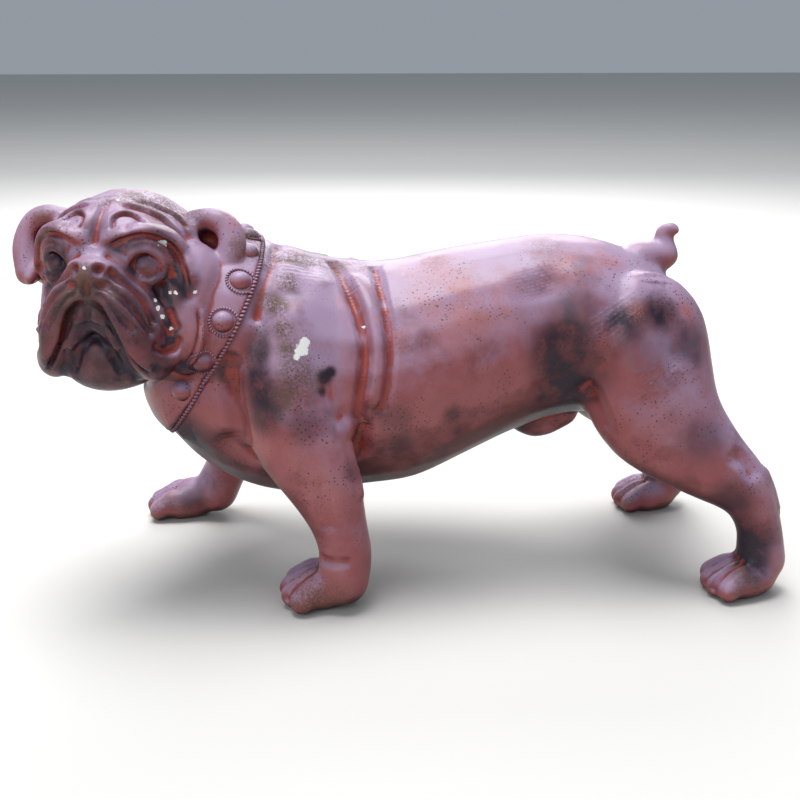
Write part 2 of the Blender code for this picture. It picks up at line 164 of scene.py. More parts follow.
def carve(obj, strokes):
    top = carving["foldTop"]
    skin = BVHTree.FromObject(obj, bpy.context.evaluated_depsgraph_get())
    for keys, reach, height, fold in strokes:
        points, outward = getPoints(obj), getNormals(obj)
        line = smoothCurve(keys, carving["steps"]) if len(keys) > 1 else keys
        found = [skin.find_nearest(Vector(key)) for key in line]
        path = np.array([hit[0] for hit in found])
        out = np.array([hit[1] for hit in found])
        inside = (points > path.min(0) - reach) & (points < path.max(0) + reach)
        near = np.flatnonzero(np.all(inside, axis=1))
        gap = points[near][:, None, :] - path[None]
        far = np.linalg.norm(gap, axis=2)
        best = far.argmin(axis=1)
        away = far.min(axis=1) / reach
        taper = np.ones(len(near))
        across = np.zeros(len(near))
        if len(path) > 1:
            along = np.gradient(path, axis=0)
            along /= np.maximum(np.linalg.norm(along, axis=1), carving["least"])[:, None]
            steps = np.linalg.norm(np.diff(path, axis=0), axis=1)
            run = np.concatenate([[0], np.cumsum(steps)])[best]
            taper = easeIn(np.minimum(run, steps.sum() - run) / reach + carving["end"])
            side = np.cross(out, along)[best]
            across = np.einsum("ij,ij->i", gap[np.arange(len(near)), best], side) / reach
        if fold:
            shift = fold * easeIn(across / top) * (1 - easeIn((across - top) / (1 - top)))
            shift += height * np.exp(-((away / carving["creaseWidth"]) ** 2))
        else:
            shift = height * (1 - np.clip(away, 0, 1) ** 2) ** 2
        facing = easeIn(np.einsum("ij,ij->i", outward[near], out[best]) + 0.5)
        shift *= taper * facing * (away < 1)
        points[near] += 0.5 * (out[best] + outward[near]) * shift[:, None]
        setPoints(obj, points)


def bothSides(strokes):  # a mirrored stroke runs the other way, so that it folds on the same side
    return strokes + [(mirrorKeys(keys)[::-1], *rest) for keys, *rest in strokes]


# Trunk, legs and tail: x, y, z and the half sizes of each bead of clay
torso = {
    "grain": 2.4,
    "rounds": 30,
    "trunk": [
        (-222, -2, 218, 48, 84, 66),
        (-178, 0, 206, 60, 108, 100),
        (-120, 0, 213, 68, 126, 128),
        (-50, 0, 212, 68, 124, 120),
        (0, 0, 216, 68, 118, 118),
        (50, 0, 232, 66, 108, 112),
        (100, 0, 248, 62, 102, 104),
        (150, 0, 260, 58, 99, 98),
        (200, 0, 260, 58, 99, 93),
        (250, 0, 243, 50, 92, 90),
    ],
    "neck": [
        (-120, 0, 252, 70, 104, 95), (-172, -4, 270, 50, 110, 92), (-215, -6, 280, 46, 94, 88),
        (-250, -16, 290, 40, 82, 80),
    ],
    "sheath": [(118, 0, 168, 16, 15, 16), (146, 0, 153, 20, 18, 19), (176, 0, 164, 18, 17, 18)],
    "frontNear": [
        (-124, -78, 225, 62, 48, 86),
        (-108, -112, 178, 46, 36, 56),
        (-84, -126, 130, 35, 30, 42),
        (-72, -130, 92, 28, 26, 30),
        (-66, -131, 60, 27, 26, 24),
        (-70, -128, 30, 28, 29, 26),
    ],
    "frontFar": [
        (-131, 78, 225, 62, 48, 86),
        (-158, 106, 172, 44, 34, 52),
        (-180, 118, 115, 32, 28, 36),
        (-198, 122, 70, 26, 26, 26),
        (-216, 124, 32, 27, 28, 26),
    ],
    "rearNear": [
        (242, -60, 240, 72, 48, 90),
        (261, -84, 183, 62, 40, 61),
        (303, -101, 143, 44, 30, 43),
        (343, -113, 113, 28, 24, 32),
        (361, -118, 75, 23, 22, 26),
        (366, -120, 36, 26, 24, 26),
    ],
    "rearFar": [
        (238, 60, 240, 72, 48, 90),
        (246, 84, 184, 62, 40, 60),
        (276, 100, 144, 44, 30, 43),
        (314, 110, 113, 29, 24, 32),
        (328, 113, 75, 23, 22, 26),
        (332, 114, 36, 25, 24, 26),
    ],
    "tail": [
        (252, 0, 328, 22),
        (268, -2, 332, 17),
        (281, -5, 334, 12),
        (279, 2, 347, 10),
        (277, 5, 357, 9),
        (285, 1, 363, 7),
        (290, -3, 360, 5),
    ],
}

# Each paw: x, y, the way it points in degrees, and its size
paw = {
    "places": [(-88, -116, 186, 1.0), (-255, 130, 172, 0.94), (345, -124, 184, 0.9), (308, 114, 176, 0.9)],
    "heel": (-14, 24, 28, 30, 26),  # how far forward and up, and the half sizes
    "pad": (4, 20, 30, 36, 24),
    "toes": 4,
    "toeRadius": 13.5,
    "toeRoot": (8, 22, 28),  # how far forward, to the side and up
    "toeTip": (34, 28, 15),
    "roundness": 8,  # how far the outer toes stay behind the middle ones
    "groove": ((4, 18, 50), (24, 22, 40), (40, 26, 24), (44, 28, 6)),
}


def pawFrame(x, y, turn):
    turn = math.radians(turn)
    ahead = Vector((math.cos(turn), math.sin(turn), 0))
    return Vector((x, y, 0)), ahead, Vector((-ahead.y, ahead.x, 0))


def toeSpread(i):  # -1 at the first toe, 1 at the last
    return 2 * i / (paw["toes"] - 1) - 1


def makePaw(x, y, turn, size):  # a pad with a heel behind it and toes spread along its front
    middle, ahead, aside = pawFrame(x, y, turn)
    beads = []
    for forward, height, *halves in (paw["heel"], paw["pad"]):
        spot = middle + ahead * forward * size + Vector((0, 0, height * size))
        beads.append((*spot, *(half * size for half in halves)))
    limbs = addLimb(beads)
    for i in range(paw["toes"]):
        spread = toeSpread(i)
        radius = (paw["toeRadius"] - abs(spread)) * size
        forward, wide, height = paw["toeRoot"]
        root = middle + ahead * forward * size + aside * spread * wide * size
        root.z = height * size
        forward, wide, height = paw["toeTip"]
        forward -= paw["roundness"] * spread**2
        tip = middle + ahead * forward * size + aside * spread * wide * size
        tip.z = height * size
        limbs += addLimb([(*root, radius, radius, radius), (*tip, radius, radius, 1.1 * radius)])
    return limbs


def toeGrooves():
    strokes = []
    for x, y, turn, size in paw["places"]:
        middle, ahead, aside = pawFrame(x, y, turn)
        for i in range(1, paw["toes"]):
            spread = toeSpread(i - 0.5)
            keys = []
            for k, (forward, wide, height) in enumerate(paw["groove"]):
                if k == 2:  # between the tips of the toes
                    forward -= paw["roundness"] * spread**2
                spot = middle + (ahead * forward + aside * spread * wide) * size
                keys.append(tuple(spot + Vector((0, 0, height * size))))
            strokes.append((keys, 8 * size, -5 * size, 0))
    return strokes


def makeTorso():
    limbs = []
    for part in ("trunk", "neck", "sheath", "frontNear", "frontFar", "rearNear", "rearFar"):
        limbs += addLimb(torso[part])
    for place in paw["places"]:
        limbs += makePaw(*place)
    limbs += addLimb([(x, y, z, radius, radius, radius) for x, y, z, radius in torso["tail"]])
    body = joinAll("torso", limbs)
    fuse(body, torso["grain"], torso["rounds"])
    return body


# The head, drawn looking along X with its left side at +Y, then turned and lifted into place
head = {
    "at": (-283, -46, 310),
    "turn": -102,
    "lift": 12,
    "grain": 2.0,
    "rounds": 9,
    "middle": [
        [(-22, 0, 34, 70, 82, 73), (22, 0, 36, 54, 74, 58)],  # skull
        [(40, 0, 2, 40, 58, 46), (66, 0, 2, 27, 42, 36)],  # muzzle
        [(83, 0, 23, 14, 25, 12), (85, 0, 15, 12, 15, 12)],  # nose
        [(0, 0, -46, 44, 60, 44), (38, 0, -62, 32, 50, 32), (44, 0, -54, 22, 36, 30)],  # jaw
    ],
    "sides": [
        [(-16, 50, -4, 52, 44, 58), (14, 48, -30, 40, 35, 46)],  # cheek
        [
            (78, 11, 3, 16, 16, 15), (77, 27, -6, 18, 17, 19), (69, 40, -27, 20, 17, 25),
            (61, 46, -48, 21, 18, 25), (48, 52, -60, 23, 19, 22),
        ],  # flew
        [
            (72, 4, 36, 7, 8, 7), (71, 20, 32, 8, 8, 8), (69, 33, 19, 8, 8, 9), (63, 46, 2, 8, 8, 10),
            (59, 58, -20, 8, 8, 10), (52, 67, -36, 7, 7, 8),
        ],  # roll from the nose
        [
            (80, 15, 17, 7, 7, 7), (79, 28, 6, 7, 8, 8), (73, 40, -7, 8, 8, 9), (68, 51, -22, 7, 7, 9),
            (65, 58, -35, 6, 6, 6),
        ],  # second roll
        [
            (73, 6, -27, 9, 12, 8), (68, 18, -38, 9, 9, 10), (60, 28, -56, 10, 9, 12),
            (50, 38, -70, 10, 9, 11),
        ],  # lower lip
        [(62, 0, -52, 9, 10, 9), (60, 14, -60, 8, 8, 9), (54, 26, -74, 9, 8, 10)],  # chin fold
        [
            (62, 13, 50, 15, 12, 11), (55, 40, 59, 17, 15, 11), (42, 61, 53, 14, 11, 12),
            (32, 72, 37, 10, 8, 13), (31, 76, 20, 7, 6, 10),
        ],  # brow
        [
            (-10, 70, 72, 12, 12, 14), (-8, 90, 76, 14, 15, 12), (-8, 105, 65, 15, 15, 15),
            (-2, 110, 44, 14, 16, 16), (7, 104, 18, 12, 14, 12),
        ],  # ear rim
        # ear front
        [(4, 73, 66, 5, 5, 6), (6, 77, 50, 5, 5, 6), (13, 86, 30, 6, 5, 6), (17, 97, 12, 6, 6, 6)],
        [(-24, 76, 60, 10, 18, 26), (-22, 96, 48, 10, 16, 26), (-12, 92, 20, 14, 14, 13)],  # ear back
    ],
    "farSide": 0.92,  # the width of the side turned away from the camera, as a share
    "farFrom": 40,
    "leftCheek": [(10, 71, 4, 44, 41, 52), (16, 73, -34, 42, 38, 43)],
    "jowl": [  # the roll that runs from the lip round the corner of the mouth
        (76, 40, -46, 7, 7, 7), (70, 52, -55, 9, 9, 9), (58, 64, -60, 9, 9, 9), (47, 72, -54, 8, 8, 9),
        (44, 77, -38, 7, 7, 8), (44, 76, -20, 6, 6, 8),
    ],
    "farJowl": 0.86,
    "socket": [([(63, 45, 27)], 25, -9, 0)],  # a stroke, as for carve
    "eye": (52, 45, 27, 15, 14, 13),
    "lids": [
        [
            (66, 29, 29, 3, 3, 3), (69, 36, 39, 4, 4, 4), (67, 47, 43, 4, 4, 4), (60, 57, 38, 4, 4, 4),
            (50, 63, 25, 3, 3, 3),
        ],  # upper lid
        [
            (66, 30, 26, 3, 3, 3), (67, 39, 15, 3.5, 3.5, 3.5), (63, 49, 12, 3.5, 3.5, 3.5),
            (57, 57, 16, 3.5, 3.5, 3.5), (50, 63, 24, 3, 3, 3),
        ],  # lower lid
        [
            (66, 26, 36, 3, 3, 3), (69, 35, 47, 4, 4, 4), (66, 48, 51, 4, 4, 4), (58, 60, 46, 4, 4, 4),
            (48, 67, 32, 3, 3, 3),
        ],  # fold over the lid
    ],
}


def headPlace():
    turn = math.radians(head["turn"])
    forward = Vector((math.cos(turn), math.sin(turn), 0))
    left = Vector((0, 0, 1)).cross(forward)
    forward = Matrix.Rotation(-math.radians(head["lift"]), 3, left) @ forward
    place = Matrix((forward, left, forward.cross(left))).transposed().to_4x4()
    place.translation = Vector(head["at"])
    return place


def farSide(y):
    return y * (1 - (1 - head["farSide"]) * easeIn(-y / head["farFrom"]))


def makeHead():
    limbs = []
    for beads in head["sides"]:
        limbs += addLimb(beads)
    sides = joinAll("headSides", limbs)
    applyModifier(sides, "MIRROR", use_axis=(False, True, False), use_mirror_merge=False)
    limbs = [sides] + addLimb(head["leftCheek"]) + addLimb(head["jowl"])
    limbs += addLimb([(x, -y * head["farJowl"], z, *size) for x, y, z, *size in head["jowl"]])
    for beads in head["middle"]:
        limbs += addLimb(beads)
    skull = joinAll("head", limbs)
    fuse(skull, head["grain"], head["rounds"])
    carve(skull, bothSides(head["socket"]))
    x, y, z, *size = head["eye"]
    lids = []
    for beads in head["lids"]:
        lids += addLimb(beads)
    lids = joinAll("lids", lids + [addBead((x, y, z, *size))])
    applyModifier(lids, "MIRROR", use_axis=(False, True, False), use_mirror_merge=False)
    skull = joinAll("head", [skull, lids])
    points = getPoints(skull)
    points[:, 1] = farSide(points[:, 1])
    setPoints(skull, points)
    skull.data.transform(headPlace())
    return skull


# The collar lies on a leaning ring: the middle of its rear edge, and the way the neck runs there
collar = {
    "at": (-189, -11, 277),
    "axis": (-0.864, -0.129, 0.487),
    "width": 37,
    "rise": 5,
    "edge": 2.0,
    "reach": 160,  # how far from its middle the neck's skin can be
    "studs": 14,
    "studRadius": 11,
    "studSunk": 0.35,  # share of the radius that lies under the skin
    "firstStud": 0.3,
    "fromEdge": 13,
    "lowest": -0.8,  # the studs that would look further down than this are left out
}


def collarFrame():
    axis = Vector(collar["axis"]).normalized()
    across = Vector((0, 0, 1)).cross(axis).normalized()
    return Vector(collar["at"]), axis, across, axis.cross(across)


def raiseCollar(body):
    middle, axis = collarFrame()[:2]
    points = getPoints(body)
    along = (points - np.array(middle)) @ np.array(axis)
    near = np.linalg.norm(points - np.array(middle), axis=1) < collar["reach"]
    band = easeIn(along / collar["edge"]) * easeIn((collar["width"] - along) / collar["edge"]) * near
    setPoints(body, points + getNormals(body) * (collar["rise"] * band)[:, None])


def neckSurface(skin, turns, forward):  # a place on the skin of the neck, and the way out of it
    middle, axis, across, upward = collarFrame()
    angle = 2 * math.pi * turns
    outward = across * math.cos(angle) + upward * math.sin(angle)
    hit = skin.ray_cast(middle + axis * forward + outward * collar["reach"], -outward)
    return hit[0], outward


faceSides = [
    # brow edge
    ([
        (76, 14, 44), (73, 28, 52), (69, 46, 56), (60, 62, 52), (48, 72, 42), (41, 77, 24), (44, 82, 8),
    ], 16, -3, 4),
    ([(72, 17, 58), (60, 15, 70), (56, 25, 76), (56, 36, 74), (64, 46, 68)], 10, -4, 2),  # frown
    ([(72, 24, 62), (70, 36, 66)], 11, -3.5, 0),  # frown hollow
    ([(47, 13, 85), (44, 33, 81), (37, 51, 74), (33, 63, 64), (28, 70, 52)], 13, -3, 3),  # forehead fold
    ([(30, 20, 94), (22, 38, 84), (10, 56, 76), (4, 70, 63)], 13, -2.5, 2.5),  # second forehead fold
    ([(-4, 90, 52)], 16, -4, 0),  # ear hollow
    ([(47, 67, 28), (44, 73, 16), (45, 81, 4), (47, 86, -8)], 10, -3, 0),  # groove from the eye
    # groove beside the nose roll
    ([(60, 74, -40), (64, 66, -24), (64, 54, 0), (72, 40, 18), (79, 26, 32), (80, 10, 41)], 7, -4, 0),
    # first muzzle groove
    ([(90, 19, 24), (82, 31, 13), (76, 44, 1), (73, 55, -15), (72, 62, -28)], 7, -5, 0),
    # second muzzle groove
    ([(95, 14, 12), (91, 26, 3), (86, 40, -11), (80, 51, -25), (74, 59, -38)], 7, -4.5, 0),
    ([(96, 8, 2), (94, 21, -8), (90, 35, -22), (84, 46, -34)], 6, -3.5, 0),  # third muzzle groove
    ([(57, 66, -10), (55, 72, -24), (53, 76, -34)], 7, -4, 0),  # jowl groove
    ([(75, 57, -45), (66, 66, -50), (56, 74, -47), (53, 78, -36)], 7, -4, 0),  # jowl pocket
    # mouth
    ([(94, 1, -8), (93, 11, -11), (88, 21, -23), (81, 30, -42), (75, 41, -57), (66, 52, -72)], 16, -8, 4),
    ([(47, 92, -10), (48, 94, -26), (48, 91, -47), (42, 80, -66)], 10, -3, 2),  # cheek crease
    ([(98, 14.5, 23)], 8.5, -9, 0),  # nostril
    ([(94, 24, 21), (96, 20, 12), (97, 8, 7)], 5, -3, 0),  # nose wing
    ([(76, 12, -48), (72, 20, -62), (66, 26, -76)], 8, -3, 0),  # chin groove
    ([(88, 0, -19), (84, 12, -24), (78, 20, -36), (72, 26, -54)], 9, 5, 0),  # lip edge
]
faceMiddle = [
    ([(76, 0, 44), (72, 0, 58), (58, 0, 78), (36, 0, 94)], 7, -5, 0),  # forehead line
    ([(97, 0, 14), (97, 0, 4), (95, 0, -4)], 5, -3, 0),  # lip line
]
bodySides = [
    ([(-116, -40, 336), (-108, -96, 300), (-110, -122, 255), (-120, -132, 214)], 42, 7, 0),  # shoulder blade
    # front of the upper arm
    ([(-172, -112, 270), (-176, -112, 232), (-168, -112, 196), (-160, -108, 168)], 18, -7, 0),
    # roll behind the shoulder
    ([
        (-58, -40, 326), (-41, -68, 308), (-33, -101, 280), (-32, -114, 248), (-38, -122, 208),
    ], 17, 6, 0),
    # crease before the roll
    ([
        (-74, -12, 334), (-56, -68, 311), (-45, -99, 283), (-43, -113, 256), (-50, -123, 214),
        (-52, -124, 190),
    ], 11, -6, 0),
    # crease after the roll
    ([
        (-30, -15, 330), (-24, -74, 306), (-20, -105, 273), (-22, -118, 237), (-30, -121, 200),
    ], 10, -5, 0),
    ([(-48, -121, 200), (-50, -114, 168), (-52, -120, 146)], 16, -8, 0),  # hollow behind the elbow
    # fold behind the collar
    ([(-128, 0, 352), (-134, -61, 336), (-142, -87, 316), (-150, -104, 290)], 10, -4, 0),
    ([(-60, -124, 188)], 20, 6, 0),  # elbow
    ([(-58, -126, 180), (-54, -132, 150), (-50, -138, 118)], 10, 3, 0),  # tendon of the fore leg
    ([(-92, -138, 150), (-84, -142, 118), (-78, -144, 92)], 12, -2.5, 0),  # hollow of the fore leg
    ([(-92, -138, 60), (-78, -152, 60), (-60, -150, 62)], 9, -3.5, 0),  # wrist
    # loin
    ([(126, -60, 334), (136, -88, 304), (143, -98, 268), (150, -86, 226), (165, -78, 196)], 40, -9, 0),
    ([(196, -90, 300), (226, -106, 256), (252, -112, 214)], 46, 7, 0),  # haunch
    ([(170, -90, 222), (190, -94, 190), (208, -92, 166)], 20, -6, 0),  # front of the thigh
    ([(246, -60, 310), (262, -92, 272), (268, -106, 236)], 26, -4, 0),  # crease of the rump
    ([(322, -130, 160), (338, -130, 146), (348, -130, 124)], 15, -5, 0),  # hollow of the hock
    ([(364, -112, 140), (376, -116, 112), (384, -118, 84)], 12, 3, 0),  # tendon of the hock
    ([(-190, -98, 182), (-166, -104, 160), (-146, -108, 146)], 20, -6, 0),  # side of the chest
    ([(-222, -40, 196), (-206, -72, 184)], 34, 6, 0),  # breast
    ([(-6, -112, 250), (60, -110, 244), (100, -100, 240)], 60, 3, 0),  # ribs
]

casting = {
    "grain": 1.7,
    "rounds": 3,
    "triangles": 190000,
    "scale": 0.001,
    "shift": (0.00148, -0.0045, -0.0015),
    "margin": 0.0001,
}


def placeOnCasting(points):
    return np.array(points) * casting["scale"] + np.array(casting["shift"])


def fitInside(points):  # nothing stands out of the casting's own box
    low, high = np.array(cadBox[0]) + casting["margin"], np.array(cadBox[1]) - casting["margin"]
    low[2] = cadBox[0][2]
    return np.clip(points, low, high)


torsoObject = makeTorso()
print("torso made")
headObject = makeHead()
print("head made")
raiseCollar(torsoObject)
dog = joinAll("castBulldog", [torsoObject, headObject])
fuse(dog, casting["grain"], casting["rounds"])
print("joined", len(dog.data.polygons))
carve(dog, bothSides(bodySides) + toeGrooves())
headToBody = headPlace()
faceStrokes = []
for keys, *rest in bothSides(faceSides) + faceMiddle:
    faceStrokes.append(([tuple(headToBody @ Vector((x, farSide(y), z))) for x, y, z in keys], *rest))
carve(dog, faceStrokes)
print("carved")
neckSkin = BVHTree.FromObject(dog, bpy.context.evaluated_depsgraph_get())
applyModifier(dog, "DECIMATE", ratio=min(1.0, casting["triangles"] / (2 * len(dog.data.polygons))))
setPoints(dog, fitInside(placeOnCasting(getPoints(dog))))
dog.data.shade_smooth()
print("thinned", len(dog.data.polygons))

# The rope along the rear edge of the collar and round each stud, made of small twisted strands
rope = {
    "radius": 2.1,
    "strand": 4.2,
    "lift": 0.9,  # of the rope's middle above the skin, as a share of its radius
    "steps": 120,
    "ringRadius": 13.5,
    "ringRope": 1.5,
    "ringStrand": 2.9,
    "ringLift": 0.4,
    "ringSteps": 32,
    "lean": 35,
    "halfLength": 0.42,  # of a strand, as a share of the distance between two
    "swelling": 1.25,
    "fewest": 8,
}


def makeStrands(name, path, outward, radius, length):  # one leaning bead for each stretch of the rope
    path = np.array(path)
    far = np.concatenate([[0], np.cumsum(np.linalg.norm(np.diff(path, axis=0), axis=1))])
    count = max(rope["fewest"], round(far[-1] / length))
    deselectAll()
    bpy.ops.mesh.primitive_ico_sphere_add(subdivisions=2, radius=1, location=(0, 0, 0))
    first = bpy.context.object
    strands = []
    for i in range(count):
        at = far[-1] * (i + 0.5) / count
        spot = Vector([np.interp(at, far, path[:, k]) for k in range(3)])
        ahead = Vector([np.interp(at + 0.5, far, path[:, k]) for k in range(3)])
        behind = Vector([np.interp(at - 0.5, far, path[:, k]) for k in range(3)])
        along = (ahead - behind).normalized()
        out = Vector([np.interp(at, far, outward[:, k]) for k in range(3)]).normalized()
        side = out.cross(along).normalized()
        out = along.cross(side)
        lean = Matrix.Rotation(math.radians(rope["lean"]), 3, out)
        turn = Matrix((lean @ along, lean @ side, out)).transposed().to_4x4()
        size = Matrix.Diagonal((length * rope["halfLength"], radius * rope["swelling"], radius, 1))
        strand = first.copy()
        strand.data = first.data.copy()
        strand.data.transform(Matrix.Translation(spot) @ turn @ size)
        scene.collection.objects.link(strand)
        strands.append(strand)
    bpy.data.objects.remove(first)
    return joinAll(name, strands)


def ropeEdge():
    steps = rope["steps"]
    rows = [neckSurface(neckSkin, i / steps, 0) for i in range(steps + 1)]
    rows = [(spot, out) for spot, out in rows if spot is not None]
    path = [spot + out * rope["lift"] * rope["radius"] for spot, out in rows]
    outs = np.array([out for spot, out in rows])
    return makeStrands("ropeEdge", path, outs, rope["radius"], rope["strand"])


def studPlaces():  # the middle of each stud on the skin, and the way it looks
    places = []
    for i in range(collar["studs"]):
        turns = (i + collar["firstStud"]) / collar["studs"]
        spot, out = neckSurface(neckSkin, turns, collar["fromEdge"])
        if spot is not None and out.z > collar["lowest"]:
            places.append((spot, out))
    return places


def studRings():  # a ring is made only where the whole of it lies near the band
    axis = collarFrame()[1]
    radius, steps = rope["ringRadius"], rope["ringSteps"]
    rings = []
    for spot, out in studPlaces():
        side = out.cross(axis).normalized()
        path, outs = [], []
        for k in range(steps + 1):
            angle = 2 * math.pi * k / steps
            ray = (axis * math.cos(angle) + side * math.sin(angle)) * radius
            hit = neckSkin.ray_cast(spot + ray + out * 30, -out)  # from well above the skin
            if hit[0] is not None and abs((hit[0] - spot).dot(out)) < 0.5 * radius:
                path.append(hit[0] + out * rope["ringLift"] * rope["ringRope"])
                outs.append(hit[1])
        if len(path) == steps + 1:
            rings.append(makeStrands("ring", path, np.array(outs), rope["ringRope"], rope["ringStrand"]))
    return joinAll("studRings", rings)


def makeStuds():
    radius, studs = collar["studRadius"], []
    for spot, out in studPlaces():
        studs.append(addBead((*(spot - out * collar["studSunk"] * radius), radius, radius, radius)))
    return joinAll("collarStuds", studs)


trims = [ropeEdge(), studRings(), makeStuds()]
for trim in trims:
    setPoints(trim, fitInside(placeOnCasting(getPoints(trim))))
    trim.data.shade_smooth()
print("collar trimmed")

perMetre = 1000  # millimetres

